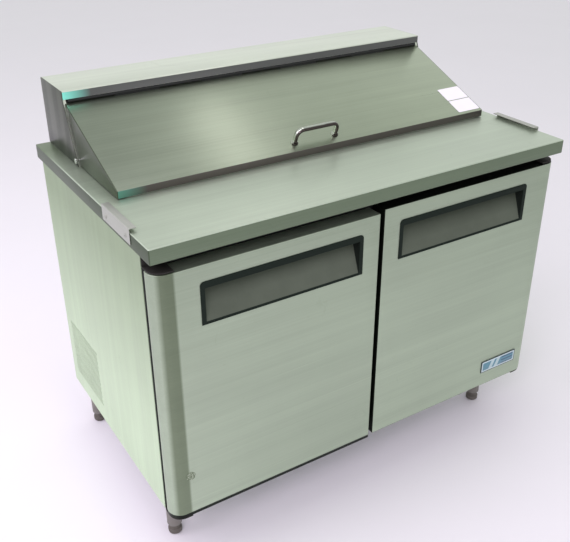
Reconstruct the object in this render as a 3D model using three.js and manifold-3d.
// A two-door sandwich preparation refrigerator: a foamed cabinet on legs, a worktop with a row of
// food pans under a sloping lid, a fixed hood behind the lid and two swing doors at the front.
// Millimetres, +X to the right, +Y to the back, +Z up; the origin is on the floor under the middle.
import * as THREE from "three";
import { mergeVertices } from "three/addons/utils/BufferGeometryUtils.js";
import Module from "manifold-3d";

const wasm = await Module();
wasm.setup();

// Overall sizes
const worktopMargin = 73; // worktop beside the row of food pans
const worktopDepth = 746;
const worktopHeight = 914; // floor to the worktop's upper face
const worktopEdge = 38; // height of the turned-down edge
const legHeight = 156; // floor to the underside of the cabinet
const hoodHeight = 177; // worktop to the hood's upper face

// Sheet, clearances
const sheet = 1.5;
const gap = 0.3; // between pieces that seat on each other
const pinPlay = 0.3; // radial play round a hinge pin
const overrun = 9; // how far a cutting shape runs past what it cuts

// Cabinet
const cabinetOverhang = 5; // worktop past each side panel
const backSetback = 26;
const frameThickness = 8;
const sillHeight = 49;
const headerDepth = 114; // worktop's upper face down to the door openings
const jambWidth = 70;
const mullionWidth = 60;
const mullionDepth = 46;
const sideWall = 60; // outer face of the cabinet to the inside of the liner
const floorWall = 49;
const backWall = 52;
const roofWall = 49; // worktop's upper face down to the liner's ceiling
const linerSheet = 1.5;
const bayDepth = 262; // machine compartment, from the cabinet's back
const bayHeight = 264; // above the cabinet's underside
const bayWall = 45;

// Louvres in the back panel, in two columns
const louvreLength = 420;
const louvreHeight = 8;
const louvrePitch = 26;
const louvreRows = 8;
const louvreBase = 40; // above the panel's lower edge

// Side vent
const ventFrontSetback = 470; // from the worktop's front edge
const ventLength = 218;
const ventTop = 524; // below the worktop's upper face
const ventSlot = 8;
const ventPitch = 21;
const ventRows = 9;

// Doors
const doorGap = 12; // between the two doors
const doorFrontSetback = 8.5; // worktop's front edge to the doors' front faces
const doorThickness = 47;
const doorTopDrop = 63.2; // worktop's upper face to the right door's top edge
const doorRise = 5.8; // cabinet's underside to the right door's lower edge
const sealDepth = 8.5; // doors' backs to the cabinet's front face
const leftDoorDrop = 9; // the left door hangs this much lower
const doorCornerRadius = 35;
const doorBackRadius = 8;
const doorEdgeRadius = 3;
const pinInset = 22; // hinge pin in from the door's outer side
const pinSetback = 21.5; // hinge pin behind the door's front face
const pinRadius = 4;
const pinLength = 14;
const boreDepth = 20;
const gasketWidth = 16;
const gasketPinOffset = 4; // gasket starts inboard of the pin
const gasketEdge = 22; // in from the door's upper and lower edges
const gasketFreeEdge = 8;
const dishMargin = 18;
const dishDepth = 4.5;

// Handle pockets
const pocketWidth = 441;
const pocketHeight = 109;
const pocketFromTop = 41;
const pocketFromOuter = 108; // door's outer side to the pocket's rim
const pocketDepth = 34;
const pocketWall = 2.2;
const pocketTopRim = 17;
const pocketSideRim = 11;
const pocketProud = 1.1;
const pocketLap = 4; // rim over the skin round the hole
const pocketCorner = 10;

// Hinge brackets
const bracketPlate = 3;
const bracketGap = 2; // between a bracket and the door's end
const bracketReach = 30; // inboard of the pin
const bracketInset = 1.5; // inside the door's outline
const bracketLeg = 24;
const bracketLegSheet = 2;

// Worktop's pan well and food pans
const panColumns = 6;
const panWidth = 176;
const panLength = 325;
const panDepth = 100;
const panRim = 8;
const panWall = 1.2;
const panTaper = 6;
const panSpacing = 2;
const panPlay = 4;
const panLedge = 9; // worktop's upper face down to the ledge
const panWellSetback = 278; // worktop's front edge to the well
const railLedge = 7;
const railWall = 2;
const railHeight = 34;
const railFlange = 5;
const crossBarWidth = 12;
const crossBarHeight = 12;
const neckPlay = 2;

// Hood
const hoodInset = 39; // worktop's end to the hood's side
const hoodTopDepth = 167;
const hoodFootDepth = 229;
const hoodLip = 20.6;
const hoodScrewRadius = 7;
const hoodScrewInset = 3.5; // behind the side's sloping front edge
const hoodScrewHeight = 14;
const hoodScrewShank = 3; // radius
const hoodScrewHead = 4;

// Lid
const lidInset = 5; // hood's side to the lid's side
const lidFrontSetback = 270;
const lidFrontHeight = 20.4;
const lidBackHeight = 149;
const lidTuck = 4; // lid's upper end behind the hood's front face
const lidGap = 2; // skirts above the worktop
const skirtGapTop = 13; // between the skirts and the hood's sides, closing downwards
const skirtGapBottom = 2.5;
const lidCore = 14;
const lidCoreMargin = 8;
const hingeRadius = 3.2;
const hingePinRadius = 1.4;
const hingeBelowLip = 4.2; // hinge axis under the lip's lower edge
const hingeBeforeLip = 2; // hinge axis in front of the hood's front face
const hingeSegments = 9;
const hingeInset = 8; // lid's side to the hinge's end
const hingeLeafHeight = 18;
const hingeLeafSheet = 1;
const knuckleGap = 0.5;
const handleSpacing = 126;
const handleOffset = -6; // from the lid's centre line
const handleUpSlope = 30;
const handleHeight = 47;
const handleHalfWidth = 8.5;
const handleHalfThickness = 5;
const handleCorner = 20;
const handleFootRadius = 10;
const handleFootHeight = 5;

// Cutting-board brackets
const boardBracketLength = 157;
const boardBracketSetback = 94;
const boardBracketFlange = 18;
const boardBracketRise = 10;
const boardBracketDrop = 28;
const boardBracketSheet = 2;
const boardScrewRadius = 5;
const boardScrewHead = 2;

// Legs and levelling feet
const legInsetLeft = 46; // from the side panels
const legInsetRight = 85;
const legFrontSetback = 126; // from the worktop's front edge
const legBackInset = 35; // from the cabinet's back
const legRadius = 20;
const legFlangeRadius = 32;
const legFlangeSheet = 3;
const footHeight = 30;
const footRadius = 18.5;
const stemRadius = 6;
const stemLength = 24;

// Shelves
const shelfHeight = 480;
const shelfWire = 5;
const shelfRod = 3;
const shelfWires = 16;
const shelfPlay = 3;
const ledgeReach = 14;
const ledgeThickness = 8;
const railHalfWidth = 14;
const railKeel = 2; // half width of the rib between the two shelves
const shelfSeat = 8; // a shelf's lap on the centre rail
const shelfBackSetback = 92; // clear of the evaporator's fan

// Refrigeration
const evaporatorWidth = 380;
const evaporatorHeight = 180;
const evaporatorDepth = 42;
const evaporatorBase = 600;
const evaporatorFanRadius = 68;
const condenserLength = 200;
const condenserHeight = 190;
const condenserDepth = 40;
const condenserInset = 44; // from the side panel
const condenserFanRadius = 80;
const coilFins = 9;
const coilFin = 2;
const coilTube = 8;
const fanFrame = 8;
const fanHub = 20;
const fanBlades = 5;
const fanTip = 4; // play between the blades and the frame's ring
const fanRim = 8; // frame outside its ring
const fanStrut = 3;
const fanHubLength = 12;
const fanBladeSheet = 1.5;
const fanPitchAngle = 0.3; // radians
const fanChord = 14;
const motorRadius = 22;
const motorLength = 26;
const trayHeight = 5;
const trayThickness = 1.5;
const compressorRadius = 78;
const compressorHeight = 165;
const compressorX = 150;
const tubeRadius = 5;
const tubeX = -230; // where the suction line passes through the liner's floor
const tubeHole = 7;
const tubeBend = 40;
const tubeStart = 36; // above the evaporator's lower end
const controlWidth = 80;
const controlHeight = 80;
const controlDepth = 36;
const knobRadius = 16;
const knobLength = 14;

// Nameplate on the right door
const plateWidth = 139;
const plateHeight = 40;
const plateThickness = 1.6;
const plateFromOuter = 121.5;
const plateFromBottom = 67.5;

// Places that follow from the sizes above
const wellWidth = panColumns * panWidth + (panColumns - 1) * panSpacing + 2 * panPlay;
const worktopWidth = wellWidth + 2 * worktopMargin;
const hoodWidth = worktopWidth - 2 * hoodInset;
const lidWidth = hoodWidth - 2 * lidInset;
const hingeLength = lidWidth - 2 * hingeInset;
const front = -worktopDepth / 2;
const back = worktopDepth / 2;
const worktopUnderside = worktopHeight - sheet;
const cabinetHalf = worktopWidth / 2 - cabinetOverhang;
const cabinetFront = front + doorFrontSetback + doorThickness + sealDepth;
const cabinetBack = back - backSetback;
const cabinetBottom = legHeight;
const doorHeight = worktopHeight - doorTopDrop - cabinetBottom - doorRise;
const shellHalf = cabinetHalf - sheet - gap; // room between the side panels
const shellTop = worktopUnderside - gap;
const shellBack = cabinetBack - sheet - gap;
const shellBottom = cabinetBottom + sheet + gap;
const openingTop = worktopHeight - headerDepth;
const openingBottom = cabinetBottom + sillHeight;
const openingHalf = cabinetHalf - jambWidth;
const foamFront = cabinetFront + frameThickness + gap;
const bayFront = cabinetBack - bayDepth;
const bayTop = cabinetBottom + bayHeight;
const roomHalf = cabinetHalf - sideWall;
const roomBack = cabinetBack - backWall;
const roomBottom = cabinetBottom + floorWall;
const roomTop = worktopHeight - roofWall;
const stepFront = bayFront - bayWall;
const stepTop = bayTop + bayWall;
const wellLength = panLength + 2 * panPlay;
const wellFront = front + panWellSetback;
const wellBack = wellFront + wellLength;
const neckHalf = wellWidth / 2 + neckPlay;
const ledgeTop = worktopHeight - panLedge;
const hoodFront = back - hoodTopDepth;
const hoodFoot = back - hoodFootDepth;
const hoodTop = worktopHeight + hoodHeight;
const lipBottom = hoodTop - hoodLip;
const hoodLean = (hoodFront - hoodFoot) / (lipBottom - worktopHeight); // of the sides' front edges
const doorBack = doorThickness - pinSetback; // in the door's own frame, whose origin is on the pin
const doorFront = -pinSetback;
const pinX = cabinetHalf - pinInset;
const pinY = front + doorFrontSetback + pinSetback;
const doorWidth = cabinetHalf - doorGap / 2;
const doorFree = doorWidth - pinInset;
const cabinetFace = cabinetFront - pinY; // cabinet's front face in the door's frame
const hingeY = hoodFront - hingeBeforeLip;
const hingeZ = lipBottom - hingeBelowLip;
const lidFront = front + lidFrontSetback;
const lidFrontTop = worktopHeight + lidFrontHeight;
const lidBack = hoodFront + lidTuck;
const lidSlope = Math.atan2(lidBackHeight - lidFrontHeight, lidBack - lidFront);
const lidLength = Math.hypot(lidBackHeight - lidFrontHeight, lidBack - lidFront);

// Finishes
const finishes = {
  steel: { color: 0xb9c0b4, roughness: 0.36, metalness: 0.9 },
  paleSteel: { color: 0xcdd3c8, roughness: 0.42, metalness: 0.8 },
  darkSteel: { color: 0x8f978c, roughness: 0.4, metalness: 0.9 },
  chrome: { color: 0xe0e2e2, roughness: 0.1, metalness: 1 },
  blackPlastic: { color: 0x1b211f, roughness: 0.55, metalness: 0 },
  greyPlastic: { color: 0x50574f, roughness: 0.6, metalness: 0 },
  whitePlastic: { color: 0xd8dad6, roughness: 0.5, metalness: 0 },
  rubber: { color: 0x2a2c2b, roughness: 0.8, metalness: 0 },
  foam: { color: 0xd9c98f, roughness: 0.95, metalness: 0 },
  aluminium: { color: 0xc9cdd0, roughness: 0.5, metalness: 0.85 },
  copper: { color: 0xb06a44, roughness: 0.35, metalness: 0.95 },
  blackPaint: { color: 0x17191a, roughness: 0.45, metalness: 0.2 },
  bluePlate: { color: 0x2b6478, roughness: 0.4, metalness: 0.1 },
};

// A closed geometry, placed by a matrix, as a solid that can be joined and cut.
function solidFrom(geometry, matrix = new THREE.Matrix4()) {
  const placed = geometry.index ? geometry.toNonIndexed() : geometry.clone();
  placed.applyMatrix4(matrix);
  placed.deleteAttribute("normal");
  placed.deleteAttribute("uv");
  const merged = mergeVertices(placed, 1e-4);
  const vertProperties = merged.attributes.position.array;
  const triVerts = new Uint32Array(merged.index.array);
  return new wasm.Manifold(new wasm.Mesh({ numProp: 3, vertProperties, triVerts }));
}

function geometryFrom(solid) {
  const mesh = solid.getMesh();
  const shared = new THREE.BufferGeometry();
  shared.setAttribute("position", new THREE.BufferAttribute(new Float32Array(mesh.vertProperties), 3));
  shared.setIndex(new THREE.BufferAttribute(new Uint32Array(mesh.triVerts), 1));
  const flat = shared.toNonIndexed();
  flat.computeVertexNormals();
  return flat;
}

// A new named mesh with a material of its own, added to its parent.
function addPart(parent, name, solid, finish) {
  const material = new THREE.MeshStandardMaterial(finishes[finish]);
  const mesh = new THREE.Mesh(geometryFrom(solid), material);
  mesh.name = name;
  parent.add(mesh);
  return mesh;
}

function block(x0, x1, y0, y1, z0, z1) {
  const geometry = new THREE.BoxGeometry(x1 - x0, y1 - y0, z1 - z0);
  const centre = new THREE.Matrix4().makeTranslation((x0 + x1) / 2, (y0 + y1) / 2, (z0 + z1) / 2);
  return solidFrom(geometry, centre);
}

function join(...solids) {
  return solids.reduce((sum, solid) => sum.add(solid));
}

function shapeOf(points) {
  return new THREE.Shape(points.map(([a, b]) => new THREE.Vector2(a, b)));
}

function extrude(shape, depth, curveSegments = 8) {
  return new THREE.ExtrudeGeometry(shape, { depth, bevelEnabled: false, curveSegments });
}

// An outline of [y, z] points, pushed along X.
function prismAlongX(points, x0, x1) {
  const axes = new THREE.Matrix4().makeBasis(
    new THREE.Vector3(0, 1, 0),
    new THREE.Vector3(0, 0, 1),
    new THREE.Vector3(1, 0, 0),
  );
  axes.setPosition(x0, 0, 0);
  return solidFrom(extrude(shapeOf(points), x1 - x0), axes);
}

// A shape in [x, y], pushed up.
function prismUp(shape, z0, z1, curveSegments) {
  return solidFrom(extrude(shape, z1 - z0, curveSegments), new THREE.Matrix4().makeTranslation(0, 0, z0));
}

// A shape in [x, z], pushed towards the back.
function prismBack(shape, y0, y1) {
  const axes = new THREE.Matrix4().makeBasis(
    new THREE.Vector3(1, 0, 0),
    new THREE.Vector3(0, 0, 1),
    new THREE.Vector3(0, -1, 0),
  );
  axes.setPosition(0, y1, 0);
  return solidFrom(extrude(shape, y1 - y0), axes);
}

const quarterTurns = {
  x: new THREE.Matrix4().makeRotationZ(-Math.PI / 2),
  y: new THREE.Matrix4(),
  z: new THREE.Matrix4().makeRotationX(Math.PI / 2),
};

// A round bar centred on a point, along x, y or z.
function bar(axis, radius, length, x, y, z, sides = 16) {
  const geometry = new THREE.CylinderGeometry(radius, radius, length, sides);
  return solidFrom(geometry, new THREE.Matrix4().makeTranslation(x, y, z).multiply(quarterTurns[axis]));
}

// A turned piece: [radius, height] points from the bottom up, about the vertical axis.
function turned(points, sides = 24) {
  const profile = points.map(([radius, height]) => new THREE.Vector2(radius, height));
  return solidFrom(new THREE.LatheGeometry(profile, sides), quarterTurns.z);
}

function buildWorktop(parent) {
  const half = worktopWidth / 2;
  const underside = worktopHeight - worktopEdge;
  const tray = block(-half, half, front, back, underside, worktopHeight);
  const hollow = block(
    -half + sheet, half - sheet, front + sheet, back - sheet, underside - 1, worktopUnderside,
  );
  const well = block(-wellWidth / 2, wellWidth / 2, wellFront, wellBack, underside, worktopHeight + 1);
  addPart(parent, "worktop", tray.subtract(hollow).subtract(well), "steel");
}

function buildSidePanels(parent) {
  for (const side of [-1, 1]) {
    let panel = block(-sheet / 2, sheet / 2, cabinetFront, cabinetBack, cabinetBottom, shellTop);
    if (side < 0) {
      const ventFront = front + ventFrontSetback;
      for (let row = 0; row < ventRows; row += 1) {
        const top = worktopHeight - ventTop - row * ventPitch;
        const slot = block(-sheet, sheet, ventFront, ventFront + ventLength, top - ventSlot, top);
        panel = panel.subtract(slot);
      }
    }
    const mesh = addPart(parent, side < 0 ? "side_panel_left" : "side_panel_right", panel, "paleSteel");
    mesh.position.x = side * (cabinetHalf - sheet / 2);
  }
}

function buildBackPanel(parent) {
  let panel = block(-shellHalf, shellHalf, cabinetBack - sheet, cabinetBack, cabinetBottom, shellTop);
  for (const centre of [-shellHalf / 2, shellHalf / 2]) {
    for (let row = 0; row < louvreRows; row += 1) {
      const z = cabinetBottom + louvreBase + row * louvrePitch;
      const x0 = centre - louvreLength / 2;
      const cut = block(x0, x0 + louvreLength, shellBack, cabinetBack + overrun, z, z + louvreHeight);
      panel = panel.subtract(cut);
    }
  }
  addPart(parent, "back_panel", panel, "aluminium");
}

function buildBasePanel(parent) {
  const floor = block(
    -shellHalf, shellHalf, cabinetFront, shellBack, cabinetBottom, cabinetBottom + sheet,
  );
  addPart(parent, "base_panel", floor, "aluminium");
}

// The room inside, with its step over the machine compartment and its neck up to the pan well.
function roomSolid(inset, frontEnd, topEnd) {
  const upper = block(
    -roomHalf + inset, roomHalf - inset, frontEnd, roomBack - inset, stepTop + inset, roomTop - inset,
  );
  const lower = block(
    -roomHalf + inset, roomHalf - inset, frontEnd, stepFront - inset, roomBottom + inset, stepTop + inset + 1,
  );
  const neck = block(
    -neckHalf + inset, neckHalf - inset,
    wellFront - neckPlay + inset, wellBack + neckPlay - inset, roomTop - inset - 1, topEnd,
  );
  return join(upper, lower, neck);
}

function suctionHole() {
  const y = roomBack - evaporatorDepth / 2;
  return bar("z", tubeHole, stepTop - bayTop + 2 * overrun, tubeX, y, (stepTop + bayTop) / 2);
}

function buildInsulation(parent) {
  const body = block(-shellHalf, shellHalf, foamFront, shellBack, shellBottom, shellTop);
  const bay = block(
    -shellHalf - 1, shellHalf + 1, bayFront, shellBack + 1, shellBottom - 1, bayTop,
  );
  const room = roomSolid(-linerSheet - gap, foamFront - 1, shellTop + 1);
  addPart(parent, "insulation", body.subtract(bay).subtract(room).subtract(suctionHole()), "foam");
}

function buildLiner(parent) {
  const outside = roomSolid(-linerSheet, foamFront, shellTop);
  const inside = roomSolid(0, foamFront - 1, shellTop + 1);
  let liner = outside.subtract(inside).subtract(suctionHole());
  for (const side of [-1, 1]) {
    const wall = side * (roomHalf + linerSheet / 2);
    const reach = side * (roomHalf - ledgeReach);
    const ledge = block(
      Math.min(wall, reach), Math.max(wall, reach), foamFront, roomBack + linerSheet / 2,
      shelfHeight - gap - ledgeThickness, shelfHeight - gap,
    );
    liner = liner.add(ledge);
  }
  addPart(parent, "liner", liner, "aluminium");
}

function buildFaceFrame(parent) {
  const plate = block(
    -shellHalf, shellHalf, cabinetFront, cabinetFront + frameThickness, shellBottom, shellTop,
  );
  const opening = block(
    -openingHalf, openingHalf, cabinetFront - 1, cabinetFront + frameThickness + 1, openingBottom, openingTop,
  );
  const post = block(
    -mullionWidth / 2, mullionWidth / 2, cabinetFront, cabinetFront + frameThickness,
    openingBottom - 1, openingTop + 1,
  );
  const backing = block(
    -mullionWidth / 2 + 8, mullionWidth / 2 - 8, cabinetFront + 1, cabinetFront + mullionDepth,
    roomBottom + gap, roomTop - gap - panDepth,
  );
  addPart(parent, "face_frame", join(plate.subtract(opening), post, backing), "blackPlastic");
}

function buildPanRail(parent) {
  const half = wellWidth / 2 - gap;
  const y0 = wellFront + gap;
  const y1 = wellBack - gap;
  const top = worktopHeight + gap;
  const ring = block(-half, half, y0, y1, top - railHeight, top + 1);
  const flange = block(
    -half - railFlange, half + railFlange, y0 - railFlange, y1 + railFlange, top, top + sheet,
  );
  const upper = block(
    -half + railWall, half - railWall, y0 + railWall, y1 - railWall, ledgeTop, top + overrun,
  );
  const lower = block(
    -half + railLedge, half - railLedge, y0 + railLedge, y1 - railLedge, top - railHeight - 1,
    top + overrun,
  );
  let rail = join(ring, flange).subtract(upper).subtract(lower);
  for (let column = 1; column < panColumns; column += 1) {
    const x = -wellWidth / 2 + panPlay + column * (panWidth + panSpacing) - panSpacing / 2;
    const crossBar = block(
      x - crossBarWidth / 2, x + crossBarWidth / 2, y0 + railWall, y1 - railWall,
      ledgeTop - crossBarHeight, ledgeTop,
    );
    rail = rail.add(crossBar);
  }
  addPart(parent, "pan_rail", rail, "steel");
}

// A box whose four walls lean in by the same taper towards its floor.
function taperedBox(halfX, halfY, taper, z0, z1) {
  const geometry = new THREE.BoxGeometry(halfX * 2, halfY * 2, z1 - z0);
  const corners = geometry.attributes.position;
  for (let i = 0; i < corners.count; i += 1) {
    if (corners.getZ(i) < 0) {
      corners.setX(i, corners.getX(i) - Math.sign(corners.getX(i)) * taper);
      corners.setY(i, corners.getY(i) - Math.sign(corners.getY(i)) * taper);
    }
  }
  return solidFrom(geometry, new THREE.Matrix4().makeTranslation(0, 0, (z0 + z1) / 2));
}

// Food pans hang by their rims from the rail; the pan's own origin is at the middle of its rim.
function buildPans(parent) {
  const halfX = panWidth / 2 - panRim;
  const halfY = panLength / 2 - panRim;
  const rim = block(-panWidth / 2, panWidth / 2, -panLength / 2, panLength / 2, 0, panWall);
  const outside = taperedBox(halfX, halfY, panTaper, -panDepth, panWall / 2);
  const inside = taperedBox(halfX - panWall, halfY - panWall, panTaper, panWall - panDepth, panWall * 2);
  const pan = join(rim, outside).subtract(inside);
  for (let column = 0; column < panColumns; column += 1) {
    const mesh = addPart(parent, `food_pan_${column + 1}`, pan, "steel");
    const x = -wellWidth / 2 + panPlay + panWidth / 2 + column * (panWidth + panSpacing);
    mesh.position.set(x, (wellFront + wellBack) / 2, ledgeTop + gap);
  }
}

function buildHood(parent) {
  const half = hoodWidth / 2;
  const foot = worktopHeight + gap;
  const outline = [
    [back, foot], [back, hoodTop], [hoodFront, hoodTop], [hoodFront, lipBottom], [hoodFoot, foot],
  ];
  const hollow = [
    [back - sheet, foot - overrun], [back - sheet, hoodTop - sheet], [hoodFront + sheet, hoodTop - sheet],
    [hoodFront + sheet, lipBottom - 0.1], [hoodFoot - overrun, lipBottom - 0.1],
    [hoodFoot - overrun, foot - overrun],
  ];
  const screwY = hoodFoot + hoodScrewHeight * hoodLean + hoodScrewInset;
  const screwZ = worktopHeight + hoodScrewHeight;
  const holes = bar("x", hoodScrewShank + gap, hoodWidth + overrun, 0, screwY, screwZ);
  const shell = prismAlongX(outline, -half, half).subtract(prismAlongX(hollow, -half + sheet, half - sheet));
  addPart(parent, "hood_shell", shell.subtract(holes), "darkSteel");
  const head = join(
    bar("x", hoodScrewRadius, hoodScrewHead, hoodScrewHead / 2 + gap, 0, 0),
    bar("x", hoodScrewShank, hoodScrewHead * 3, -hoodScrewHead, 0, 0),
  );
  for (const side of [-1, 1]) {
    const screw = addPart(parent, side < 0 ? "hood_screw_left" : "hood_screw_right", head, "chrome");
    screw.position.set(side * half, screwY, screwZ);
    if (side < 0) screw.rotation.z = Math.PI;
  }
}

function buildBoardBrackets(parent) {
  const y0 = front + boardBracketSetback;
  const y1 = y0 + boardBracketLength;
  const outer = boardBracketSheet;
  const upright = block(0, outer, y0, y1, -boardBracketDrop, boardBracketRise);
  const flange = block(
    outer - boardBracketFlange, outer, y0, y1, boardBracketRise - boardBracketSheet, boardBracketRise,
  );
  let bracket = join(upright, flange);
  for (const share of [0.14, 0.86]) {
    const y = y0 + share * boardBracketLength;
    bracket = bracket.add(
      bar("x", boardScrewRadius, boardScrewHead, outer + boardScrewHead / 2 - 0.1, y, -boardBracketDrop / 2),
    );
  }
  for (const side of [-1, 1]) {
    const name = side < 0 ? "board_bracket_left" : "board_bracket_right";
    const mesh = addPart(parent, name, bracket, "steel");
    mesh.position.set(side * (worktopWidth / 2 + gap), 0, worktopHeight);
    mesh.scale.x = side;
  }
}

// Plan of a door in its own frame: the hinge pin at the origin, +X to the free edge.
function doorPlan(inset, outwards) {
  const outer = -pinInset + inset;
  const face = doorFront + inset;
  const free = doorFree - inset;
  const big = doorCornerRadius - inset;
  const small = doorBackRadius - inset;
  const edge = Math.max(doorEdgeRadius - inset, 0.5);
  const plan = new THREE.Shape();
  plan.moveTo(free, doorBack + outwards);
  plan.lineTo(outer + small, doorBack + outwards);
  if (outwards > 0) plan.lineTo(outer + small, doorBack);
  plan.absarc(outer + small, doorBack - small, small, Math.PI / 2, Math.PI, false);
  plan.lineTo(outer, face + big);
  plan.absarc(outer + big, face + big, big, Math.PI, 1.5 * Math.PI, false);
  plan.lineTo(free - edge, face);
  plan.absarc(free - edge, face + edge, edge, 1.5 * Math.PI, 2 * Math.PI, false);
  plan.closePath();
  return plan;
}

// Where the pocket sits in the door's frame, and the slope of its back.
const pocketX0 = pocketFromOuter - pinInset;
const pocketX1 = pocketX0 + pocketWidth;
const pocketTop = doorHeight - pocketFromTop;
const pocketBottom = pocketTop - pocketHeight;
const pocketFace = doorFront - pocketProud - gap;
const pocketCeiling = pocketTop - pocketTopRim / 2;
const pocketSlope = (pocketDepth + pocketProud + gap) / (pocketCeiling - pocketBottom - 1);

function pocketBackAt(z) {
  return pocketFace + (z - pocketBottom - 1) * pocketSlope;
}

function buildHandlePocket(parent, name) {
  const corner = pocketCorner;
  const rim = new THREE.Shape();
  rim.moveTo(pocketX0, pocketBottom);
  rim.lineTo(pocketX1, pocketBottom);
  rim.lineTo(pocketX1, pocketTop - corner);
  rim.absarc(pocketX1 - corner, pocketTop - corner, corner, 0, Math.PI / 2, false);
  rim.lineTo(pocketX0 + corner, pocketTop);
  rim.absarc(pocketX0 + corner, pocketTop - corner, corner, Math.PI / 2, Math.PI, false);
  rim.closePath();
  const rimSolid = prismBack(rim, pocketFace, doorFront - gap);
  const lap = pocketLap + gap;
  const low = pocketBottom + lap / 2;
  const shellOutline = [
    [doorFront - gap - 0.1, low],
    [pocketBackAt(low) + pocketWall, low],
    [pocketBackAt(pocketCeiling) + pocketWall, pocketCeiling],
    [pocketBackAt(pocketCeiling) + pocketWall, pocketTop - lap],
    [doorFront - gap - 0.1, pocketTop - lap],
  ];
  const shell = prismAlongX(shellOutline, pocketX0 + lap, pocketX1 - lap);
  const lipBack = doorFront + pocketWall;
  const hollowOutline = [
    [pocketFace - overrun, pocketBottom + 1],
    [pocketFace, pocketBottom + 1],
    [pocketBackAt(pocketCeiling), pocketCeiling],
    [lipBack, pocketCeiling],
    [lipBack, pocketTop - pocketTopRim],
    [pocketFace - overrun, pocketTop - pocketTopRim],
  ];
  const hollow = prismAlongX(hollowOutline, pocketX0 + pocketSideRim, pocketX1 - pocketSideRim);
  addPart(parent, name, join(rimSolid, shell).subtract(hollow), "blackPlastic");
}

// Room for the pocket in the door's foamed inside.
function pocketRoom() {
  const low = pocketBottom + pocketLap / 2;
  const reach = pocketWall + gap;
  const outline = [
    [doorFront - overrun, low],
    [pocketBackAt(low) + reach, low],
    [pocketBackAt(pocketCeiling) + reach, pocketCeiling],
    [pocketBackAt(pocketCeiling) + reach, pocketTop - pocketLap],
    [doorFront - overrun, pocketTop - pocketLap],
  ];
  return prismAlongX(outline, pocketX0 + pocketLap, pocketX1 - pocketLap);
}

function pinBores() {
  const length = boreDepth * 2;
  return join(
    bar("z", pinRadius + pinPlay, length, 0, 0, 0),
    bar("z", pinRadius + pinPlay, length, 0, 0, doorHeight),
  );
}

function buildDoor(parent, sideName, side) {
  const group = new THREE.Group();
  const bottom = cabinetBottom + doorRise - (side < 0 ? leftDoorDrop : 0);
  group.position.set(side * pinX, pinY, bottom);
  group.scale.x = -side;
  parent.add(group);

  const tray = prismUp(doorPlan(0, 0), 0, doorHeight);
  const trayRoom = prismUp(doorPlan(sheet, 5), sheet, doorHeight - sheet);
  const hole = block(
    pocketX0 + pocketLap, pocketX1 - pocketLap, doorFront - overrun, doorFront + sheet + 1,
    pocketBottom + pocketLap / 2, pocketTop - pocketLap,
  );
  const skin = tray.subtract(trayRoom).subtract(hole).subtract(pinBores());
  addPart(group, `${sideName}_door_skin`, skin, "steel");

  const clear = sheet + gap;
  const filling = prismUp(doorPlan(clear, 0), clear, doorHeight - clear);
  const gasketX0 = gasketPinOffset;
  const gasketX1 = doorFree - gasketFreeEdge;
  const gasketZ0 = gasketEdge;
  const gasketZ1 = doorHeight - gasketEdge;
  const dish = block(
    gasketX0 + gasketWidth + dishMargin, gasketX1 - gasketWidth - dishMargin,
    doorBack - 1, doorBack + dishDepth,
    gasketZ0 + gasketWidth + dishMargin, gasketZ1 - gasketWidth - dishMargin,
  );
  const inner = join(filling, dish).subtract(pocketRoom()).subtract(pinBores());
  addPart(group, `${sideName}_door_inner`, inner, "whitePlastic");

  const seal = block(gasketX0, gasketX1, doorBack + gap, cabinetFace - gap, gasketZ0, gasketZ1);
  const sealRoom = block(
    gasketX0 + gasketWidth, gasketX1 - gasketWidth, doorBack, cabinetFace, gasketZ0 + gasketWidth,
    gasketZ1 - gasketWidth,
  );
  addPart(group, `${sideName}_door_gasket`, seal.subtract(sealRoom), "rubber");
  buildHandlePocket(group, `${sideName}_handle_pocket`);

  if (side > 0) {
    const x0 = plateFromOuter - pinInset - plateWidth / 2;
    const z0 = plateFromBottom - plateHeight / 2;
    const y1 = doorFront - gap;
    const plate = block(x0, x0 + plateWidth, y1 - plateThickness, y1, z0, z0 + plateHeight);
    addPart(group, "nameplate", plate, "bluePlate");
  }
}

// A bracket's plan follows the door's rounded corner; its leg is screwed to the cabinet's face.
function buildHingeBracket(parent, name, side, doorEnd, up) {
  const outer = -pinInset + bracketInset;
  const face = doorFront + bracketInset;
  const radius = doorCornerRadius - bracketInset;
  const seat = cabinetFace - gap;
  const plan = new THREE.Shape();
  plan.moveTo(bracketReach, seat);
  plan.lineTo(outer, seat);
  plan.lineTo(outer, face + radius);
  plan.absarc(outer + radius, face + radius, radius, Math.PI, 1.5 * Math.PI, false);
  plan.lineTo(bracketReach, face);
  plan.closePath();
  const plate = prismUp(plan, bracketGap, bracketGap + bracketPlate);
  const pin = bar("z", pinRadius, pinLength + bracketGap + 1, 0, 0, (bracketGap + 1 - pinLength) / 2);
  const legTop = up ? bracketGap + bracketLeg - 4 : bracketGap + 1;
  const legBottom = up ? bracketGap + 1 : bracketGap + bracketPlate - bracketLeg;
  const leg = block(outer, bracketReach, seat - bracketLegSheet, seat, legBottom, legTop);
  const mesh = addPart(parent, name, join(plate, pin, leg), "darkSteel");
  mesh.position.set(side * pinX, pinY, doorEnd);
  mesh.scale.set(-side, 1, up ? 1 : -1);
}

function buildHingeBrackets(parent) {
  for (const side of [-1, 1]) {
    const sideName = side < 0 ? "left" : "right";
    const top = worktopHeight - doorTopDrop - (side < 0 ? leftDoorDrop : 0);
    buildHingeBracket(parent, `hinge_bracket_${sideName}_top`, side, top, true);
    buildHingeBracket(parent, `hinge_bracket_${sideName}_bottom`, side, top - doorHeight, false);
  }
}

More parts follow.
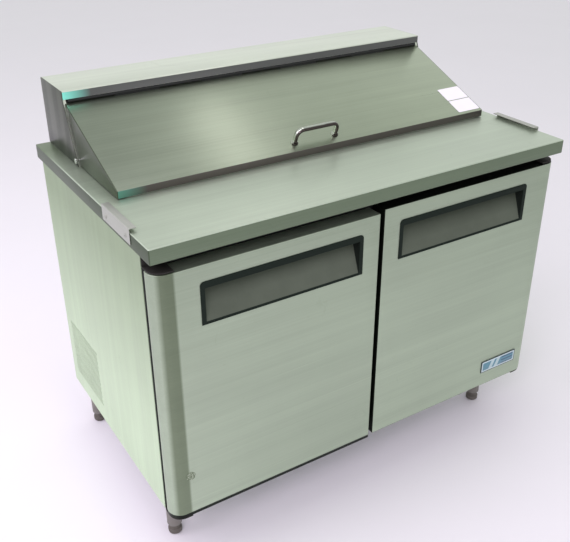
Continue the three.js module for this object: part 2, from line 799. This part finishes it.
function buildLegs(parent) {
  const tube = turned([
    [0, footHeight + stemLength],
    [stemRadius + pinPlay, footHeight + stemLength],
    [stemRadius + pinPlay, footHeight],
    [legRadius - 2, footHeight],
    [legRadius, footHeight + 4],
    [legRadius, legHeight - gap - legFlangeSheet],
    [legFlangeRadius, legHeight - gap - legFlangeSheet],
    [legFlangeRadius, legHeight - gap],
    [0, legHeight - gap],
  ], 20);
  const foot = turned([
    [0, 0],
    [footRadius - 2.5, 0],
    [footRadius, 3],
    [footRadius, footHeight * 0.5],
    [footRadius - 4, footHeight - gap - 4],
    [stemRadius, footHeight - gap],
    [stemRadius, footHeight + stemLength - gap - 1],
    [0, footHeight + stemLength - gap],
  ], 20);
  const columns = [
    ["left", -cabinetHalf + legInsetLeft],
    ["right", cabinetHalf - legInsetRight],
  ];
  const rows = [
    ["front", front + legFrontSetback],
    ["back", cabinetBack - legBackInset],
  ];
  for (const [rowName, y] of rows) {
    for (const [columnName, x] of columns) {
      addPart(parent, `leg_${rowName}_${columnName}`, tube, "darkSteel").position.set(x, y, 0);
      addPart(parent, `levelling_foot_${rowName}_${columnName}`, foot, "greyPlastic").position.set(x, y, 0);
    }
  }
}

// A shelf is a grid of rods in a frame, the rods running front to back with one bar across them.
function buildShelves(parent) {
  const inner = railHalfWidth - shelfSeat;
  const outer = roomHalf - shelfPlay;
  const y0 = cabinetFront + mullionDepth + shelfPlay;
  const y1 = roomBack - shelfBackSetback;
  const middle = (y0 + y1) / 2;
  const z0 = shelfHeight;
  const z1 = shelfHeight + shelfWire;
  let shelf = block(inner, outer, y0, y1, z0, z1);
  const pitch = (outer - inner - shelfWire * 2 + shelfRod) / shelfWires;
  for (let wire = 0; wire < shelfWires; wire += 1) {
    const x0 = inner + shelfWire + wire * pitch;
    const x1 = x0 + pitch - shelfRod;
    shelf = shelf.subtract(block(x0, x1, y0 + shelfWire, middle - shelfWire / 2, z0 - 1, z1 + 1));
    shelf = shelf.subtract(block(x0, x1, middle + shelfWire / 2, y1 - shelfWire, z0 - 1, z1 + 1));
  }
  for (const side of [-1, 1]) {
    addPart(parent, side < 0 ? "shelf_left" : "shelf_right", shelf, "paleSteel").scale.x = side;
  }
  const top = shelfHeight - gap;
  const railFront = cabinetFront + mullionDepth + gap;
  const rail = join(
    block(-railHalfWidth, railHalfWidth, railFront, roomBack - gap, top - ledgeThickness, top),
    block(-railKeel, railKeel, railFront, roomBack - gap, top - 1, top + shelfWire),
  );
  addPart(parent, "shelf_rail_centre", rail, "aluminium");
}

// A fin-and-tube coil in its own frame, length along X, air through Y.
function coilSolid(length, depth, height) {
  let coil = block(-length / 2, -length / 2 + coilFin, 0, depth, 0, height);
  for (let fin = 1; fin < coilFins; fin += 1) {
    const x = -length / 2 + (fin * (length - coilFin)) / (coilFins - 1);
    coil = coil.add(block(x, x + coilFin, 0, depth, 0, height));
  }
  for (const share of [0.2, 0.5, 0.8]) {
    const z = share * height - coilTube / 2;
    const y = depth / 2 - coilTube / 2;
    coil = coil.add(block(-length / 2 + 0.5, length / 2 - 0.5, y, y + coilTube, z, z + coilTube));
  }
  return coil;
}

// A fan's frame in its own frame: a square plate with a ring, three struts and the motor behind it.
function fanFrameSolid(radius) {
  const half = radius + fanTip + fanRim;
  const plate = block(-half, half, 0, fanFrame, -half, half);
  const ring = bar("y", radius + fanTip, fanFrame * 3, 0, 0, 0, 32);
  const strutY = fanFrame - fanStrut;
  let frame = plate.subtract(ring);
  frame = frame.add(block(-half + 2, half - 2, strutY, fanFrame, -4, 4));
  frame = frame.add(block(-4, 4, strutY, fanFrame, -half + 2, half - 2));
  return frame.add(bar("y", motorRadius, motorLength, 0, strutY + motorLength / 2, 0));
}

// The blades turn in front of the struts, their hub seated on the motor's end.
function fanBladeSolid(radius) {
  const hubY = fanFrame - fanStrut - gap - fanHubLength / 2;
  const root = fanHub - 6; // the blades start inside the hub
  let fan = bar("y", fanHub, fanHubLength, 0, hubY, 0);
  for (let blade = 0; blade < fanBlades; blade += 1) {
    const geometry = new THREE.BoxGeometry(radius - root, fanBladeSheet, fanChord * 2);
    const matrix = new THREE.Matrix4().makeRotationY((blade * 2 * Math.PI) / fanBlades);
    matrix.multiply(new THREE.Matrix4().makeTranslation((radius + root) / 2, hubY, 0));
    matrix.multiply(new THREE.Matrix4().makeRotationX(fanPitchAngle));
    fan = fan.add(solidFrom(geometry, matrix));
  }
  return fan;
}

function buildEvaporator(parent) {
  const coil = coilSolid(evaporatorWidth, evaporatorDepth, evaporatorHeight);
  const coilY = roomBack - gap - evaporatorDepth;
  addPart(parent, "evaporator_coil", coil, "aluminium").position.set(0, coilY, evaporatorBase);
  const fanZ = evaporatorBase + evaporatorHeight / 2;
  const fanY = coilY - gap - fanFrame + fanStrut - motorLength;
  const frame = addPart(parent, "evaporator_fan_frame", fanFrameSolid(evaporatorFanRadius), "greyPlastic");
  frame.position.set(0, fanY, fanZ);
  const blade = addPart(parent, "evaporator_fan_blade", fanBladeSolid(evaporatorFanRadius), "blackPlastic");
  blade.position.set(0, fanY, fanZ);

  const box = block(0, controlWidth, -controlDepth, 0, -controlHeight / 2, controlHeight / 2);
  const controlX = evaporatorWidth / 2 + 40;
  const control = addPart(parent, "control_box", box, "whitePlastic");
  control.position.set(controlX, roomBack - gap, fanZ);
  const knob = join(
    bar("y", knobRadius, knobLength, 0, -knobLength / 2, 0, 20),
    block(-2, 2, -knobLength - 1.5, -knobLength + 1, -knobRadius + 2, knobRadius - 2),
  );
  const dial = addPart(parent, "temperature_knob", knob, "blackPlastic");
  dial.position.set(controlX + controlWidth / 2, roomBack - gap * 2 - controlDepth, fanZ);
}

function buildCondensingUnit(parent) {
  const floor = cabinetBottom + sheet + gap;
  const y0 = bayFront + 10;
  const y1 = shellBack - 10;
  const half = shellHalf - 12;
  const tray = block(-half, half, y0, y1, floor, floor + trayHeight);
  const trayRoom = block(
    -half + trayThickness, half - trayThickness, y0 + trayThickness, y1 - trayThickness,
    floor + trayThickness, floor + trayHeight + 1,
  );
  addPart(parent, "unit_tray", tray.subtract(trayRoom), "aluminium");

  const seat = floor + trayThickness + gap;
  const middleY = (y0 + y1) / 2;
  const coil = addPart(
    parent, "condenser_coil", coilSolid(condenserLength, condenserDepth, condenserHeight), "blackPaint",
  );
  const coilX = -cabinetHalf + condenserInset;
  coil.rotation.z = Math.PI / 2;
  coil.position.set(coilX + condenserDepth, middleY, seat);
  const fanZ = seat + condenserFanRadius + fanTip + fanRim;
  const fanX = coilX + condenserDepth + gap + fanFrame - fanStrut + motorLength;
  const frame = addPart(parent, "condenser_fan_frame", fanFrameSolid(condenserFanRadius), "blackPaint");
  frame.rotation.z = Math.PI / 2;
  frame.position.set(fanX, middleY, fanZ);
  const blade = addPart(parent, "condenser_fan_blade", fanBladeSolid(condenserFanRadius), "aluminium");
  blade.rotation.z = Math.PI / 2;
  blade.position.set(fanX, middleY, fanZ);

  const r = compressorRadius;
  const h = compressorHeight;
  const pot = turned([
    [0, 0], [r + 14, 0], [r + 14, 4], [r, 4], [r, h * 0.62], [r * 0.93, h * 0.8], [r * 0.7, h * 0.94], [0, h],
  ]);
  addPart(parent, "compressor", pot, "blackPaint").position.set(compressorX, middleY, seat);

  const tubeY = roomBack - evaporatorDepth / 2;
  const tubeEndZ = seat + h * 0.5;
  const path = new THREE.CurvePath();
  const startZ = evaporatorBase + tubeStart;
  const start = new THREE.Vector3(-evaporatorWidth / 2 - gap, tubeY, startZ);
  const corner = new THREE.Vector3(tubeX, tubeY, startZ);
  const downStart = new THREE.Vector3(tubeX, tubeY, startZ - tubeBend / 2);
  const downEnd = new THREE.Vector3(tubeX, tubeY, bayTop - tubeBend);
  const swing = new THREE.Vector3(tubeX, (tubeY + middleY) / 2, tubeEndZ);
  const levelStart = new THREE.Vector3(tubeX + 3 * tubeBend, middleY, tubeEndZ);
  const levelEnd = new THREE.Vector3(compressorX - r - gap, middleY, tubeEndZ);
  path.add(new THREE.QuadraticBezierCurve3(start, corner, downStart));
  path.add(new THREE.LineCurve3(downStart, downEnd));
  path.add(new THREE.CubicBezierCurve3(downEnd, swing, swing, levelStart));
  path.add(new THREE.LineCurve3(levelStart, levelEnd));
  const section = new THREE.Shape();
  section.absarc(0, 0, tubeRadius, 0, 2 * Math.PI, false);
  const tube = new THREE.ExtrudeGeometry(section, { steps: 40, extrudePath: path, curveSegments: 8 });
  addPart(parent, "suction_line", solidFrom(tube), "copper");
}

// Knuckle spans along the lid's hinge: every second one belongs to the lid, the rest to the hood.
function knuckles(first) {
  const pitch = hingeLength / hingeSegments;
  const spans = [];
  for (let i = first; i < hingeSegments; i += 2) {
    const x0 = -hingeLength / 2 + i * pitch + knuckleGap / 2;
    spans.push([x0, x0 + pitch - knuckleGap]);
  }
  return spans;
}

function buildHoodHinge(parent) {
  const leafY0 = hoodFront + sheet + gap - hingeY;
  const leafY1 = leafY0 + hingeLeafSheet;
  const half = hingeLength / 2 - knuckleGap / 2;
  let leaf = block(-half, half, leafY0, leafY1, 0, hingeLeafHeight);
  leaf = leaf.add(bar("x", hingePinRadius, hingeLength - knuckleGap, 0, 0, 0, 12));
  for (const [x0, x1] of knuckles(0)) {
    leaf = leaf.add(bar("x", hingeRadius, x1 - x0, (x0 + x1) / 2, 0, 0, 12));
    leaf = leaf.add(block(x0, x1, 1, leafY1, 0, 2.2));
  }
  addPart(parent, "lid_hinge_leaf", leaf, "darkSteel").position.set(0, hingeY, hingeZ);
}

// The lid's group has its origin on the hinge axis; heights and depths are taken from there.
function buildLid(parent) {
  const group = new THREE.Group();
  group.position.set(0, hingeY, hingeZ);
  parent.add(group);

  const half = lidWidth / 2;
  const bottom = worktopHeight + lidGap;
  const rise = Math.tan(lidSlope);
  const surfaceAt = (y) => lidFrontTop + (y - lidFront) * rise;
  const thick = sheet / Math.cos(lidSlope);
  const skirtFoot = hoodFoot - skirtGapBottom;
  const skirtHead = hoodFront - skirtGapTop;
  const edgeLean = (skirtHead - skirtFoot) / (lipBottom - worktopHeight);
  const skirtAt = (z) => skirtFoot + (z - worktopHeight) * edgeLean;
  const meetZ = (surfaceAt(skirtAt(worktopHeight)) - thick - edgeLean * rise * worktopHeight)
    / (1 - edgeLean * rise);
  const local = (points) => points.map(([y, z]) => [y - hingeY, z - hingeZ]);
  const outline = local([
    [lidFront, bottom], [skirtAt(bottom), bottom], [skirtAt(meetZ), meetZ],
    [lidBack, surfaceAt(lidBack) - thick], [lidBack, surfaceAt(lidBack)], [lidFront, surfaceAt(lidFront)],
  ]);
  const far = lidBack + overrun;
  const inside = local([
    [lidFront + sheet, bottom - overrun], [lidFront + sheet, surfaceAt(lidFront + sheet) - thick],
    [far, surfaceAt(far) - thick], [far, bottom - overrun],
  ]);
  let shell = prismAlongX(outline, -half, half);
  shell = shell.subtract(prismAlongX(inside, -half + sheet, half - sheet));
  for (const [x0, x1] of knuckles(1)) {
    const drop = hingeZ - surfaceAt(hingeY) + 0.4;
    shell = shell.add(bar("x", hingeRadius, x1 - x0, (x0 + x1) / 2, 0, 0, 12));
    shell = shell.add(block(x0, x1, -1.5, 1.5, -drop, -1));
  }
  shell = shell.subtract(bar("x", hingePinRadius + pinPlay, hingeLength, 0, 0, 0, 12));
  addPart(group, "lid_shell", shell, "darkSteel");

  // On the slope: the origin at the front edge of the lid, +Y up the slope, +Z out of its face.
  const slope = new THREE.Group();
  slope.position.set(0, lidFront - hingeY, lidFrontTop - hingeZ);
  slope.rotation.x = lidSlope;
  group.add(slope);
  const under = sheet + gap * 2;
  const core = block(
    -half + lidCoreMargin, half - lidCoreMargin, lidCoreMargin * 2, lidLength - lidCoreMargin * 2,
    -under - lidCore, -under,
  );
  addPart(slope, "lid_inner_panel", core, "paleSteel");
  buildLidHandle(slope);
}

function buildLidHandle(parent) {
  const reach = handleSpacing / 2;
  const foot = bar("z", handleFootRadius, handleFootHeight, 0, 0, handleFootHeight / 2 + gap, 20);
  const rise = handleHeight - handleHalfThickness;
  const bow = new THREE.CurvePath();
  const low = handleFootHeight / 2;
  const corner = handleCorner;
  const leftUp = new THREE.Vector3(-reach, 0, rise - corner);
  const leftTop = new THREE.Vector3(-reach + corner, 0, rise);
  const rightTop = new THREE.Vector3(reach - corner, 0, rise);
  const rightUp = new THREE.Vector3(reach, 0, rise - corner);
  bow.add(new THREE.LineCurve3(new THREE.Vector3(-reach, 0, low), leftUp));
  bow.add(new THREE.QuadraticBezierCurve3(leftUp, new THREE.Vector3(-reach, 0, rise), leftTop));
  bow.add(new THREE.LineCurve3(leftTop, rightTop));
  bow.add(new THREE.QuadraticBezierCurve3(rightTop, new THREE.Vector3(reach, 0, rise), rightUp));
  bow.add(new THREE.LineCurve3(rightUp, new THREE.Vector3(reach, 0, low)));
  const section = new THREE.Shape();
  section.absellipse(0, 0, handleHalfWidth, handleHalfThickness, 0, 2 * Math.PI, false, 0);
  const grip = new THREE.ExtrudeGeometry(section, { steps: 28, extrudePath: bow, curveSegments: 10 });
  const placed = (x) => foot.translate([x, 0, 0]);
  const handle = join(solidFrom(grip), placed(-reach), placed(reach));
  addPart(parent, "lid_handle", handle, "chrome").position.set(handleOffset, handleUpSlope, 0);
}

const refrigerator = new THREE.Group();
refrigerator.name = "preparation_refrigerator";
buildWorktop(refrigerator);
buildSidePanels(refrigerator);
buildBackPanel(refrigerator);
buildBasePanel(refrigerator);
buildInsulation(refrigerator);
buildLiner(refrigerator);
buildFaceFrame(refrigerator);
buildPanRail(refrigerator);
buildPans(refrigerator);
buildHood(refrigerator);
buildBoardBrackets(refrigerator);
buildHingeBrackets(refrigerator);
buildLegs(refrigerator);
buildShelves(refrigerator);
buildEvaporator(refrigerator);
buildCondensingUnit(refrigerator);
buildDoor(refrigerator, "left", -1);
buildDoor(refrigerator, "right", 1);
buildHoodHinge(refrigerator);
buildLid(refrigerator);

export default refrigerator;
